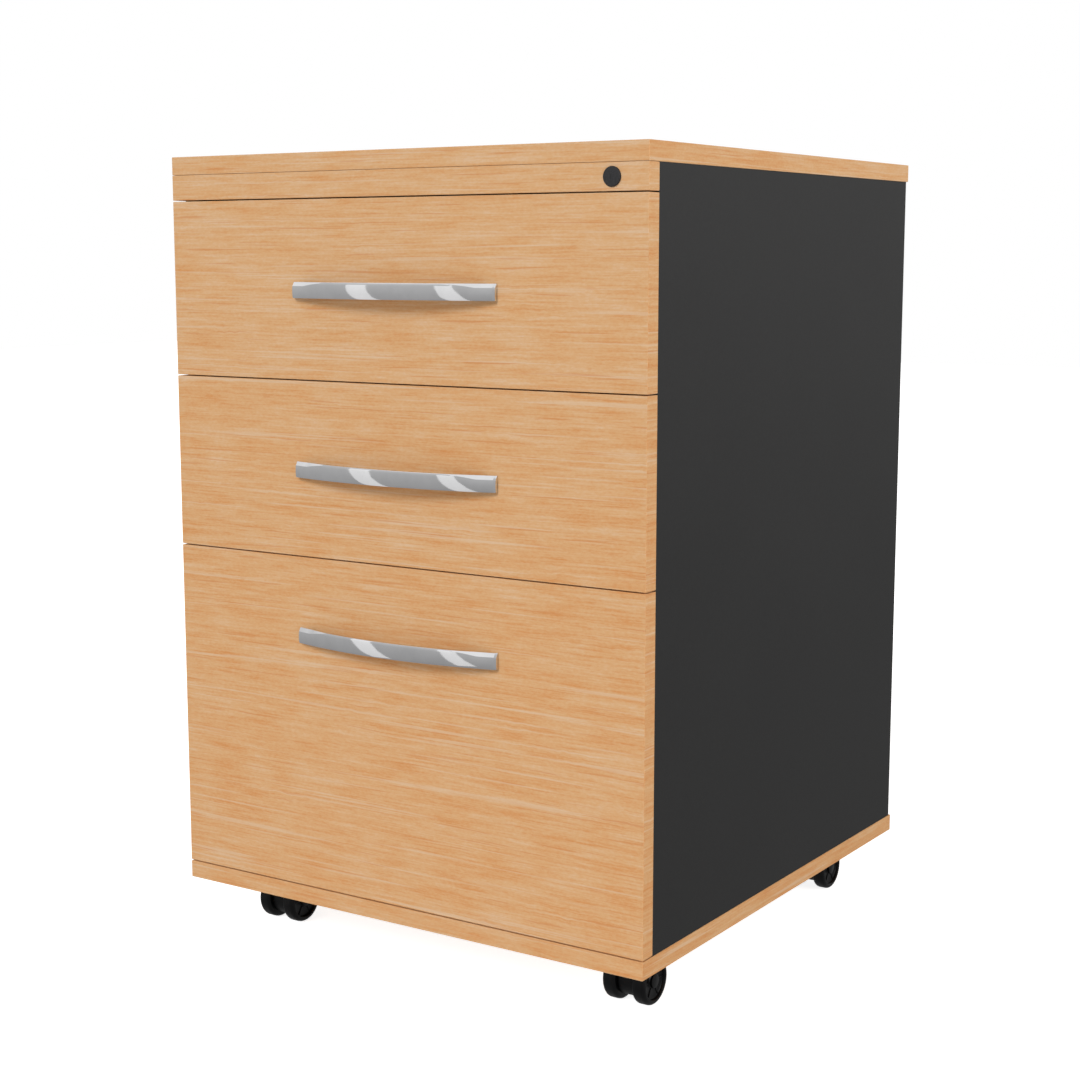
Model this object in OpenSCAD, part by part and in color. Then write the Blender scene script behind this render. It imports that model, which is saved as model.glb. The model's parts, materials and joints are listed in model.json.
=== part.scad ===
// Rolling pedestal cabinet: a desk-side chest on four twin-wheel casters, with two
// box drawers over a file drawer, bow handles, and one lock that bars all three.
// Origin: middle of the whole cabinet on the floor. +Z up, fronts face -Y.

/* [Cabinet] */
// Width across the top and bottom boards
cabinet_width = 465; // [380:1:600]
// Depth of the top and bottom boards
board_depth = 475; // [395:1:600]
// Height of the box, from the underside of the bottom board to the top
box_height = 630; // [525:1:800]

/* [Boards] */
// Thickness of the boards, panels and drawer fronts
board_t = 15; // [12:0.5:19]
// How far the top and bottom boards stand proud of the side panels
side_inset = 0.5; // [0.2:0.1:2]
// How far the side and back panels stop short of the boards' back edge
back_inset = 3.5; // [0:0.5:10]

/* [Fronts] */
// Height of the fixed rail that carries the lock
rail_h = 20.8; // [17:0.1:30]
// Joint line between the top board and the lock rail
rail_joint = 0.2; // [0.1:0.1:1]
// Height of the two upper drawer fronts
upper_front_h = 145.5; // [121:0.5:175]
// Space between fronts, one above another
front_gap = 1; // [1:0.5:4]
// Space between the file drawer's front and the bottom board
floor_gap = 1; // [1:0.5:4]

/* [Drawer boxes] */
// Thickness of the drawer walls
wall_t = 12; // [10:0.5:15]
// Space behind the drawer boxes, up to the back panel
rear_space = 41.5; // [25:0.5:80]
// How far a drawer box stands above its front's lower edge
box_lift = 10; // [6:1:16]
// How far a drawer box stops below its front's upper edge
box_drop = 24; // [20:1:30]
// Thickness of the drawer bases
base_t = 4; // [3:0.5:6]
// Height of the base groove above the walls' lower edge
base_lift = 8; // [6:1:12]
// Depth of the base groove in the walls and fronts
base_groove = 5; // [3:0.5:6]
// Height of the hanging-file rails above the file drawer's walls
file_rail_h = 6; // [4:1:10]
// Thickness of the hanging-file rails
file_rail_t = 2; // [1.5:0.5:3]

/* [Slides] */
// Space for a slide between a side panel and a drawer wall
slide_space = 13; // [10.5:0.1:16]
// How much shorter the slides are than the drawer walls
slide_short = 5; // [4:1:30]
// Height of the upper drawers' slides
upper_slide_h = 35; // [30:1:42]
// Height of the file drawer's slides
file_slide_h = 45; // [38:1:54]
// Steel thickness of the slides
slide_t = 1.2; // [1:0.05:1.5]
// Height of the upper slides' middle above the drawer walls' lower edge
upper_slide_rise = 24; // [20:1:28]
// Height of the file slides' middle above the drawer walls' lower edge
file_slide_rise = 60; // [50:1:72]
// Length of the upper drawers' slides that stays inside when they are open
upper_overlap = 95; // [60:1:140]
// Length of the file drawer's slides that stays inside when it is open
file_overlap = 15; // [5:1:60]
// Running clearance between sliding pieces
slide_clear = 0.3; // [0.3:0.05:0.4]

/* [Handles] */
// Length of a handle
handle_length = 200; // [160:1:240]
// Height of a handle
handle_h = 13; // [12:0.5:16]
// How far a handle stands out from its front
handle_reach = 18; // [15:0.5:21]
// Thickness of the handle's strap
strap_t = 5; // [4:0.5:6]
// Distance from each end of a handle to its screw
handle_screw_inset = 20; // [12:0.5:40]
// Length of a handle's solid ends
handle_foot = 10; // [6:1:12]
// Height of the file drawer's handle below its front's upper edge
file_handle_drop = 65.5; // [50:0.5:90]

/* [Lock] */
// Distance from the lock to the side of the cabinet
lock_edge = 31; // [29:0.5:33]
// Diameter of the lock's face
lock_face_d = 15; // [14.5:0.1:17]
// Diameter of the lock's barrel
lock_barrel_d = 12; // [11:0.5:13]
// Diameter of the turning plug
plug_d = 8; // [7:0.5:9]
// How far the lock bar rises when the key turns
bar_travel = 9; // [8:0.5:10]
// Width of the lock bar
bar_w = 12; // [10:0.5:14]
// Thickness of the lock bar
bar_t = 3; // [2:0.5:4]
// Diameter of the lock bar's pins
bar_pin_d = 5; // [4:0.5:5.5]
// Depth of a drawer catch's lower edge below the top of its drawer wall
catch_drop = 34; // [30:1:38]

/* [Casters] */
// Diameter of a caster wheel
wheel_d = 40; // [32:1:60]
// Height of a caster above its wheels, up to the bottom board
caster_head = 10; // [10:0.5:20]
// Width of one wheel
wheel_w = 12.5; // [10:0.5:15]
// Distance between the middles of a caster's two wheels
wheel_pitch = 27; // [26:0.5:33]
// How far the wheels trail behind the swivel
trail = 10; // [8:0.5:15]
// Distance from a front swivel to the side of the cabinet
front_caster_side = 50; // [40:1:80]
// Distance from a rear swivel to the side of the cabinet
rear_caster_side = 55; // [40:1:80]
// Distance from the swivel to the boards' front or back edge
caster_end = 64; // [50:0.5:90]
// Diameter of the axle
axle_d = 6; // [5:0.5:7]
// Diameter of the swivel pin
kingpin_d = 8; // [7:0.5:9]

/* [Hidden] */
drawers = [1, 2, 3];
casters = ["front_left", "front_right", "rear_left", "rear_right"];
drawer_pieces = [
    "front", "handle", "handle_screws", "left_wall", "right_wall",
    "back_wall", "base", "slides", "catch"
];
caster_pieces = ["housing", "axle", "left_wheel", "right_wheel"];

$fn = 64;
fit_clear = 0.05;
screw_clear = 0.3;
reach_over = 1;

// Planes of the box
half_w = cabinet_width / 2;
front_y = (handle_reach - board_depth) / 2;
back_y = front_y + board_depth;
box_bottom = wheel_d + caster_head;
box_top = box_bottom + box_height;
inside_bottom = box_bottom + board_t;
inside_top = box_top - board_t;
panel_front = front_y + board_t;
panel_back = back_y - back_inset;
panel_outer = half_w - side_inset;
panel_inner = panel_outer - board_t;
back_front = panel_back - board_t;

// Fronts, from the top down
rail_top = inside_top - rail_joint;
rail_bottom = rail_top - rail_h;
fronts_top = rail_bottom - front_gap;
file_front_h = fronts_top - inside_bottom - floor_gap - 2 * (upper_front_h + front_gap);
function front_h(n) = n < 3 ? upper_front_h : file_front_h;
function front_top(n) = fronts_top - (n - 1) * (upper_front_h + front_gap);
function front_bottom(n) = front_top(n) - front_h(n);
function handle_z(n) = n < 3 ? front_bottom(n) + front_h(n) / 2 : front_top(n) - file_handle_drop;

// Drawer boxes
wall_outer = panel_inner - slide_space;
wall_inner = wall_outer - wall_t;
box_back = back_front - rear_space;
function wall_bottom(n) = front_bottom(n) + box_lift;
function wall_top(n) = front_top(n) - box_drop;
groove_h = base_t + 2 * fit_clear;
file_rail_short = 1;
file_rail_leg = 14;

// Slides: channels that nest, with nylon strips that run between them
slide_set_back = 3;
slide_front = panel_front + slide_set_back;
slide_length = box_back - panel_front - slide_short;
upper_travel = slide_length - upper_overlap;
file_travel = slide_length - file_overlap;
slide_lip = 2.5;
member_step = 4.3;
function slide_h(n) = n < 3 ? upper_slide_h : file_slide_h;
function slide_z(n) = wall_bottom(n) + (n < 3 ? upper_slide_rise : file_slide_rise);
function channel_inside(n) = slide_h(n) / 2 - slide_t;
web_space = slide_t + slide_clear;
drawer_channel_short = 1.8;
cabinet_channel_w = slide_space - web_space - slide_clear;
middle_channel_w = cabinet_channel_w - web_space;
drawer_channel_reach = slide_space - web_space - slide_t - drawer_channel_short;
strip_from = slide_space - cabinet_channel_w + web_space;
upper_strip = (slide_length - upper_travel - reach_over) / 2;
file_strip = (slide_length - file_travel / 2 - reach_over) / 2;

// Lock and lock bar
lock_x = half_w - lock_edge;
lock_z = rail_bottom + rail_h / 2;
lock_proud = 1.5;
lock_nut_t = 3;
lock_nut_d = 17;
crank_gap = 0.5;
crank_t = 2.5;
crank_pin_d = 3;
crank_rim = 1;
crank_start = 45;
crank_r = bar_travel / 2 / sin(crank_start);
crank_d = 2 * (crank_r + crank_rim) + crank_pin_d;
key_slot = [1.2, 12, 5];
bar_front_clear = 0.4;
bar_back_clear = 0.6;
bar_side_clear = 0.3;
bar_x = panel_inner + bar_front_clear;
bar_groove_depth = bar_front_clear + bar_t + bar_back_clear;
bar_set_back = 10;
bar_y = panel_front + bar_set_back + bar_w / 2;
bar_end = 12;
tab_t = 2;
tab_half_h = 5;
tab_from = 1;
tab_clear = 0.4;
tab_z = lock_z - bar_travel / 2;
catch_w = 16;
catch_over = 5;
catch_web = 1;
catch_h = bar_travel + catch_over;
catch_side_clear = 3.5;
catch_depth = slide_space - catch_side_clear;
catch_clear = 1;
pin_end_clear = 3;
pin_reach = slide_space - pin_end_clear;
guide_t = 1.5;
guide_h = 12;
guide_drop = 8;
guide_lap = 6;
function catch_bottom(n) = wall_top(n) - catch_drop;
function pin_z(n) = catch_bottom(n) - catch_clear - bar_pin_d / 2;

// Knock-down fittings that draw the side panels to the top and bottom boards
cam_d = 15;
cam_skin = 3;
cam_depth = board_t - cam_skin;
cam_from_edge = 34;
cam_bolt_d = 6;
cam_bolt_skin = 4;
cam_bolt_in_board = board_t - cam_bolt_skin;
front_cam = 60;
rear_cam = 40;
cam_rows = [panel_front + front_cam, panel_back - rear_cam];

// Handles: an arc through the strap's two ends and its middle
strap_taper = 0.5;
handle_end_t = strap_t - strap_taper;
handle_holes = handle_length - 2 * handle_screw_inset;
handle_rise = handle_reach - handle_end_t;
bow_r = (pow(handle_length / 2, 2) + pow(handle_rise, 2)) / (2 * handle_rise);
boss_d = 9;
screw_d = 4;
screw_head_d = 8;
screw_head_t = 2.2;
screw_in_handle = 7;

// Casters
wheel_r = wheel_d / 2;
wheel_x = wheel_pitch / 2;
tread_round = 3.5;
rim_t = 4.5;
dish_r = wheel_r - rim_t;
dish_depth = 3;
hub_wall = 3;
hub_r = axle_d / 2 + hub_wall;
hub_cap_t = 3;
wheel_bore_depth = wheel_w - hub_cap_t;
wheel_side_clear = 0.5;
housing_w = wheel_pitch - wheel_w - 2 * wheel_side_clear;
drum_inset = 5;
drum_r = wheel_r - drum_inset;
neck_rise = 8;
hood_clear = 1.2;
hood_t = 1.6;
hood_side = 0.5;
hood_w = wheel_pitch + wheel_w + 2 * hood_side;
hood_rise = 12;
plate_size = 42;
plate_t = 2;
plate_bottom = box_bottom - plate_t;
swivel_clear = 0.3;
swivel_boss_r = 12;
swivel_boss_lift = 1;
swivel_boss_bottom = wheel_d + swivel_boss_lift;
kingpin_depth = 14;
plate_screw_pitch = 30;
plate_screw_d = 3.8;
plate_screw_head_d = 7;
plate_screw_head_t = 1.8;
plate_screw_bottom = plate_bottom - plate_screw_head_t;
plate_screw_skin = 3;
plate_screw_length = board_t - plate_screw_skin;
axle_end_clear = 0.5;
axle_length = wheel_pitch + 2 * (wheel_bore_depth - wheel_w / 2 - axle_end_clear);
caster_xy = [
    [-half_w + front_caster_side, front_y + caster_end],
    [half_w - front_caster_side, front_y + caster_end],
    [-half_w + rear_caster_side, back_y - caster_end],
    [half_w - rear_caster_side, back_y - caster_end]
];

beech = [0.84, 0.67, 0.5];
charcoal = [0.2, 0.2, 0.21];
liner_white = [0.86, 0.86, 0.84];
steel = [0.72, 0.73, 0.75];
satin_chrome = [0.7, 0.7, 0.71];
nylon_black = [0.06, 0.06, 0.06];

// A box between two corners
module block(low, high) {
    translate(low)
        cube(high - low);
}

// A round bar from a point, along +X, +Y or +Z
module rod_x(at, d, length) {
    translate(at)
        rotate([0, 90, 0])
            cylinder(d = d, h = length);
}

module rod_y(at, d, length) {
    translate(at)
        rotate([-90, 0, 0])
            cylinder(d = d, h = length);
}

module rod_z(at, d, length) {
    translate(at)
        cylinder(d = d, h = length);
}

// Draws its children on the left (-1) or right (1) side
module on_side(side) {
    if (side < 0)
        mirror([1, 0, 0])
            children();
    else
        children();
}

// Cam discs and their bolts on the right side, or the bores for them
module cam_set(clear) {
    for (y = cam_rows) {
        rod_x([panel_inner, y, inside_top - cam_from_edge], cam_d + 2 * clear, cam_depth + clear);
        rod_z([panel_inner + board_t / 2, y, inside_top - cam_from_edge],
            cam_bolt_d + 2 * clear, cam_from_edge + cam_bolt_in_board + clear);
        rod_x([panel_inner, y, inside_bottom + cam_from_edge], cam_d + 2 * clear, cam_depth + clear);
        rod_z([panel_inner + board_t / 2, y, inside_bottom - cam_bolt_in_board - clear],
            cam_bolt_d + 2 * clear, cam_from_edge + cam_bolt_in_board + clear);
    }
}

module cam_bores() {
    for (side = [-1, 1])
        on_side(side)
            cam_set(fit_clear);
}

module top_board() {
    color(beech)
        difference() {
            block([-half_w, front_y, inside_top], [half_w, back_y, box_top]);
            cam_bores();
        }
}

module bottom_board() {
    color(beech)
        difference() {
            block([-half_w, front_y, box_bottom], [half_w, back_y, inside_bottom]);
            cam_bores();
            plate_screws(fit_clear);
        }
}

module side_panel() {
    block([panel_inner, panel_front, inside_bottom], [panel_outer, panel_back, inside_top]);
}

module left_side_panel() {
    color(charcoal)
        on_side(-1)
            difference() {
                side_panel();
                cam_set(fit_clear);
            }
}

// The right panel also holds the lock bar in a groove
module right_side_panel() {
    groove_half = bar_w / 2 + bar_side_clear;
    color(charcoal)
        difference() {
            side_panel();
            cam_set(fit_clear);
            block([panel_inner - reach_over, bar_y - groove_half, pin_z(3) - bar_end - bar_side_clear],
                [panel_inner + bar_groove_depth, bar_y + groove_half, inside_top + reach_over]);
        }
}

module back_panel() {
    color(charcoal)
        block([-panel_inner, back_front, inside_bottom], [panel_inner, panel_back, inside_top]);
}

module cam_fittings() {
    color(steel)
        for (side = [-1, 1])
            on_side(side)
                cam_set(0);
}

module lock_rail() {
    color(beech)
        difference() {
            block([-half_w, front_y, rail_bottom], [half_w, panel_front, rail_top]);
            rod_y([lock_x, front_y - reach_over, lock_z], lock_barrel_d + 2 * fit_clear,
                board_t + 2 * reach_over);
        }
}

// One channel of a slide, open to -X, with its web at x = 0 and its edges turned in
module lipped_channel(h, w, length) {
    block([-slide_t, 0, -h / 2], [0, length, h / 2]);
    for (up = [-1, 1])
        scale([1, 1, up]) {
            block([-w, 0, h / 2 - slide_t], [0, length, h / 2]);
            block([-w, 0, h / 2 - slide_lip], [slide_t - w, length, h / 2]);
        }
}

// The fixed channels on the right panel, with a nylon strip at the mouth of each
module cabinet_slides() {
    for (n = drawers) {
        translate([panel_inner, slide_front, slide_z(n)]) {
            lipped_channel(slide_h(n), cabinet_channel_w, slide_length);
            strips(channel_inside(n), web_space, cabinet_channel_w - web_space,
                n < 3 ? upper_strip : file_strip);
        }
    }
}

// Two nylon strips, under the upper and over the lower edge of a channel
module strips(inside, from_x, to_x, length) {
    for (up = [-1, 1])
        scale([1, 1, up])
            block([-to_x, 0, inside - member_step + slide_clear], [-from_x, length, inside]);
}

module left_cabinet_slides() {
    color(steel)
        on_side(-1)
            cabinet_slides();
}

module right_cabinet_slides() {
    color(steel)
        cabinet_slides();
}

// Half the height of the channel that a drawer carries: one step in from the cabinet's
// channel on the upper drawers, and two steps in on the file drawer
function drawer_channel_half(n) =
    channel_inside(n) - member_step - (n < 3 ? 0 : slide_t + member_step);

// The moving channel on a drawer's right wall, with nylon strips at its rear end
module drawer_slide(n) {
    half_h = drawer_channel_half(n);
    strip = n < 3 ? upper_strip : file_strip;
    translate([wall_outer, slide_front, slide_z(n)]) {
        block([0, 0, -half_h], [slide_t, slide_length, half_h]);
        for (up = [-1, 1])
            scale([1, 1, up]) {
                block([0, 0, half_h - slide_t], [drawer_channel_reach, slide_length, half_h]);
                block([strip_from, slide_length - strip, half_h],
                    [drawer_channel_reach, slide_length, half_h + member_step - slide_clear]);
            }
    }
}

// The file drawer's middle channel, which runs between the other two, with strips on
// its outside at the rear and on its inside at the mouth
module middle_slide() {
    half_h = channel_inside(3) - member_step;
    translate([panel_inner - web_space, slide_front, slide_z(3)]) {
        block([-slide_t, 0, -half_h], [0, slide_length, half_h]);
        for (up = [-1, 1])
            scale([1, 1, up]) {
                block([-middle_channel_w, 0, half_h - slide_t], [0, slide_length, half_h]);
                block([web_space - middle_channel_w, slide_length - file_strip, half_h],
                    [-slide_clear, slide_length, half_h + member_step - slide_clear]);
            }
        strips(half_h - slide_t, web_space, middle_channel_w, file_strip);
    }
}

module file_middle_slides() {
    color(steel)
        for (side = [-1, 1])
            on_side(side)
                middle_slide();
}

// The barrel, its face on the rail and the nut behind the rail
module lock_housing() {
    barrel_length = lock_proud + board_t + lock_nut_t;
    color(nylon_black)
        difference() {
            union() {
                rod_y([lock_x, front_y - lock_proud, lock_z], lock_face_d, lock_proud);
                rod_y([lock_x, front_y - lock_proud, lock_z], lock_barrel_d, barrel_length);
                rod_y([lock_x, panel_front, lock_z], lock_nut_d, lock_nut_t);
            }
            rod_y([lock_x, front_y - lock_proud - reach_over, lock_z], plug_d + 2 * fit_clear,
                barrel_length + 2 * reach_over);
        }
}

// The part that the key turns, with a crank pin that lifts the lock bar
module lock_plug() {
    crank_y = panel_front + lock_nut_t + crank_gap;
    pin_end = bar_y - bar_w / 2 + tab_t + reach_over;
    color(nylon_black)
        difference() {
            union() {
                rod_y([lock_x, front_y - lock_proud, lock_z], plug_d,
                    crank_y + crank_t - front_y + lock_proud);
                rod_y([lock_x, crank_y, lock_z], crank_d, crank_t);
                rod_y([lock_x + crank_r * cos(crank_start), crank_y, lock_z - crank_r * sin(crank_start)],
                    crank_pin_d, pin_end - crank_y);
            }
            translate([lock_x, front_y - lock_proud, lock_z])
                cube(key_slot, center = true);
        }
}

// A flat steel bar with three pins, and a slotted tab that rides on the crank pin
module lock_bar() {
    tab_y = bar_y - bar_w / 2;
    slot_low = lock_x + crank_r * cos(crank_start) - crank_pin_d / 2 - tab_clear;
    slot_high = lock_x + crank_r + crank_pin_d / 2 + tab_clear;
    slot_half = crank_pin_d / 2 + tab_clear;
    color(steel)
        difference() {
            union() {
                block([bar_x, tab_y, pin_z(3) - bar_end],
                    [bar_x + bar_t, tab_y + bar_w, tab_z + tab_half_h]);
                block([lock_x + tab_from, tab_y, tab_z - tab_half_h],
                    [bar_x + bar_t, tab_y + tab_t, tab_z + tab_half_h]);
                for (n = drawers)
                    rod_x([panel_inner - pin_reach, bar_y, pin_z(n)], bar_pin_d, pin_reach + bar_t / 2);
            }
            block([slot_low, tab_y - reach_over, tab_z - slot_half],
                [slot_high, tab_y + tab_t + reach_over, tab_z + slot_half]);
        }
}

// Plates over the groove that keep the lock bar in it
module lock_bar_guides() {
    guide_half_w = bar_w / 2 + guide_lap;
    color(steel)
        for (n = [1, 2])
            block([panel_inner - guide_t, bar_y - guide_half_w, front_bottom(n) - guide_drop - guide_h / 2],
                [panel_inner, bar_y + guide_half_w, front_bottom(n) - guide_drop + guide_h / 2]);
}

module drawer_front(n) {
    color(beech)
        difference() {
            block([-half_w, front_y, front_bottom(n)], [half_w, panel_front, front_top(n)]);
            for (x = [-1, 1])
                rod_y([x * handle_holes / 2, front_y - reach_over, handle_z(n)],
                    screw_d + 2 * screw_clear, board_t + 2 * reach_over);
            block([-wall_inner - base_groove, panel_front - base_groove, wall_bottom(n) + base_lift],
                [wall_inner + base_groove, panel_front + reach_over, wall_bottom(n) + base_lift + groove_h]);
        }
}

// A bowed strap with solid ends and two bosses behind it for the screws
module drawer_handle(n) {
    color(satin_chrome)
        translate([0, front_y, handle_z(n)])
            difference() {
                union() {
                    translate([0, 0, -handle_h / 2])
                        linear_extrude(height = handle_h)
                            bow_outline();
                    for (x = [-1, 1])
                        intersection() {
                            rod_y([x * handle_holes / 2, -handle_reach, 0], boss_d, handle_reach);
                            translate([0, 0, -boss_d])
                                linear_extrude(height = 2 * boss_d)
                                    bow_face();
                        }
                }
                for (x = [-1, 1])
                    rod_y([x * handle_holes / 2, -screw_in_handle - screw_clear, 0], screw_d + 2 * fit_clear,
                        screw_in_handle + screw_clear + reach_over);
            }
}

// Everything between the drawer front and the strap's outer face
module bow_face() {
    intersection() {
        translate([0, bow_r - handle_reach])
            circle(r = bow_r, $fn = 256);
        translate([-handle_length / 2, -handle_reach])
            square([handle_length, handle_reach]);
    }
}

module bow_outline() {
    difference() {
        bow_face();
        intersection() {
            translate([0, bow_r - handle_reach])
                circle(r = bow_r - strap_t, $fn = 256);
            translate([handle_foot - handle_length / 2, -handle_reach])
                square([handle_length - 2 * handle_foot, handle_reach + reach_over]);
        }
    }
}

module drawer_handle_screws(n) {
    color(steel)
        for (x = [-1, 1]) {
            rod_y([x * handle_holes / 2, front_y - screw_in_handle, handle_z(n)],
                screw_d, screw_in_handle + board_t);
            rod_y([x * handle_holes / 2, panel_front, handle_z(n)], screw_head_d, screw_head_t);
        }
}

module drawer_wall(n) {
    difference() {
        block([wall_inner, panel_front, wall_bottom(n)], [wall_outer, box_back, wall_top(n)]);
        base_slot(n);
    }
}

// The groove that the base slides into
module base_slot(n) {
    block([-wall_inner - base_groove, panel_front - base_groove, wall_bottom(n) + base_lift],
        [wall_inner + base_groove, box_back - wall_t + base_groove, wall_bottom(n) + base_lift + groove_h]);
}

module drawer_left_wall(n) {
    color(liner_white)
        on_side(-1)
            drawer_wall(n);
}

module drawer_right_wall(n) {
    color(liner_white)
        drawer_wall(n);
}

module drawer_back_wall(n) {
    color(liner_white)
        difference() {
            block([-wall_inner, box_back - wall_t, wall_bottom(n)], [wall_inner, box_back, wall_top(n)]);
            base_slot(n);
        }
}

module drawer_base(n) {
    edge = base_groove - 2 * fit_clear;
    color(liner_white)
        block([-wall_inner - edge, panel_front - edge, wall_bottom(n) + base_lift],
            [wall_inner + edge, box_back - wall_t + edge, wall_bottom(n) + base_lift + base_t]);
}

module drawer_slides(n) {
    color(steel)
        for (side = [-1, 1])
            on_side(side)
                drawer_slide(n);
}

// A hook on the drawer's right wall, open below, that a lock bar pin rises into
module drawer_catch(n) {
    slot_w = bar_pin_d + 2 * catch_clear;
    color(nylon_black)
        difference() {
            block([wall_outer, bar_y - catch_w / 2, catch_bottom(n)],
                [wall_outer + catch_depth, bar_y + catch_w / 2, catch_bottom(n) + catch_h]);
            block([wall_outer + catch_web, bar_y - slot_w / 2, catch_bottom(n) - reach_over],
                [wall_outer + catch_depth + reach_over, bar_y + slot_w / 2, catch_bottom(n) + bar_travel]);
        }
}

// Steel angles on the file drawer's walls, which the hooks of hanging files run on
module file_rails() {
    rail_x = wall_inner - file_rail_t;
    rail_from = panel_front + file_rail_short;
    rail_to = box_back - wall_t - file_rail_short;
    color(steel)
        for (side = [-1, 1])
            on_side(side) {
                block([rail_x, rail_from, wall_top(3) - file_rail_leg],
                    [wall_inner, rail_to, wall_top(3) + file_rail_h]);
                block([rail_x, rail_from, wall_top(3)],
                    [wall_outer - file_rail_short, rail_to, wall_top(3) + file_rail_t]);
            }
}

// Places its children at a caster's swivel, at floor level
module at_caster(i) {
    translate([caster_xy[i][0], caster_xy[i][1], 0])
        children();
}

// Places its children at each plate screw, at the height of its head's lower face
module at_plate_screws() {
    for (i = [0:3])
        at_caster(i)
            for (x = [-1, 1], y = [-1, 1])
                translate([x * plate_screw_pitch / 2, y * plate_screw_pitch / 2, plate_screw_bottom])
                    children();
}

// The shanks of the plate screws, or the holes for them
module plate_screws(clear) {
    at_plate_screws()
        cylinder(d = plate_screw_d + 2 * clear,
            h = box_bottom - plate_screw_bottom + plate_screw_length + clear);
}

// Top plates, each with the pin that its caster turns on
module caster_plates() {
    color(steel)
        difference() {
            for (i = [0:3])
                at_caster(i) {
                    block([-plate_size / 2, -plate_size / 2, plate_bottom],
                        [plate_size / 2, plate_size / 2, box_bottom]);
                    rod_z([0, 0, box_bottom - kingpin_depth], kingpin_d, kingpin_depth);
                }
            plate_screws(screw_clear);
        }
}

module caster_screws() {
    color(steel) {
        plate_screws(0);
        at_plate_screws()
            cylinder(d = plate_screw_head_d, h = plate_screw_head_t);
    }
}

// The moulded body between the wheels, with a hood over them and a boss for the swivel
module caster_housing(i) {
    boss_top = plate_bottom - swivel_clear;
    color(nylon_black)
        at_caster(i)
            difference() {
                union() {
                    rod_x([-housing_w / 2, trail, wheel_r], 2 * drum_r, housing_w);
                    block([-housing_w / 2, -kingpin_d, wheel_r + neck_rise],
                        [housing_w / 2, trail, boss_top]);
                    rod_z([0, 0, swivel_boss_bottom], 2 * swivel_boss_r, boss_top - swivel_boss_bottom);
                    intersection() {
                        hood();
                        block([-hood_w / 2, trail - wheel_d, wheel_r + hood_rise],
                            [hood_w / 2, trail + wheel_d, 2 * wheel_d]);
                    }
                }
                rod_z([0, 0, box_bottom - kingpin_depth - swivel_clear], kingpin_d + 2 * fit_clear,
                    kingpin_depth + reach_over);
                rod_x([-housing_w, trail, wheel_r], axle_d + 2 * fit_clear, 2 * housing_w);
            }
}

// A drum over both wheels, hollowed out around each of them
module hood() {
    pocket = (hood_w - housing_w) / 2 + reach_over;
    difference() {
        rod_x([-hood_w / 2, trail, wheel_r], wheel_d + 2 * (hood_clear + hood_t), hood_w);
        rod_x([-housing_w / 2 - pocket, trail, wheel_r], wheel_d + 2 * hood_clear, pocket);
        rod_x([housing_w / 2, trail, wheel_r], wheel_d + 2 * hood_clear, pocket);
    }
}

module caster_axle(i) {
    color(steel)
        at_caster(i)
            rod_x([-axle_length / 2, trail, wheel_r], axle_d, axle_length);
}

// Half section of a wheel: x is the radius, y runs outwards from the inner face
module wheel_section() {
    difference() {
        union() {
            translate([0, tread_round])
                square([wheel_r, wheel_w - 2 * tread_round]);
            square([wheel_r - tread_round, wheel_w]);
            translate([wheel_r - tread_round, tread_round])
                circle(r = tread_round);
            translate([wheel_r - tread_round, wheel_w - tread_round])
                circle(r = tread_round);
        }
        translate([hub_r, wheel_w - dish_depth])
            square([dish_r - hub_r, dish_depth + reach_over]);
        translate([-reach_over, -reach_over])
            square([axle_d / 2 + fit_clear + reach_over, wheel_bore_depth + reach_over]);
    }
}

module caster_wheel(i, side) {
    color(nylon_black)
        at_caster(i)
            translate([side * (wheel_x - wheel_w / 2), trail, wheel_r])
                rotate([0, side * 90, 0])
                    rotate_extrude($fn = 96)
                        wheel_section();
}

module drawer_piece(n, piece) {
    if (piece == "front") drawer_front(n);
    if (piece == "handle") drawer_handle(n);
    if (piece == "handle_screws") drawer_handle_screws(n);
    if (piece == "left_wall") drawer_left_wall(n);
    if (piece == "right_wall") drawer_right_wall(n);
    if (piece == "back_wall") drawer_back_wall(n);
    if (piece == "base") drawer_base(n);
    if (piece == "slides") drawer_slides(n);
    if (piece == "catch") drawer_catch(n);
}

module caster_piece(i, piece) {
    if (piece == "housing") caster_housing(i);
    if (piece == "axle") caster_axle(i);
    if (piece == "left_wheel") caster_wheel(i, -1);
    if (piece == "right_wheel") caster_wheel(i, 1);
}

top_board();
bottom_board();
left_side_panel();
right_side_panel();
back_panel();
lock_rail();
cam_fittings();
left_cabinet_slides();
right_cabinet_slides();
lock_housing();
lock_plug();
lock_bar();
lock_bar_guides();
caster_plates();
caster_screws();
file_rails();
file_middle_slides();
for (n = drawers, piece = drawer_pieces)
    drawer_piece(n, piece);
for (i = [0:3], piece = caster_pieces)
    caster_piece(i, piece);
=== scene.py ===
# Rolling pedestal cabinet: the finishes and the finely shaped pieces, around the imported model.
import json
import math

import bmesh
import bpy
from mathutils import Matrix, Vector

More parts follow.
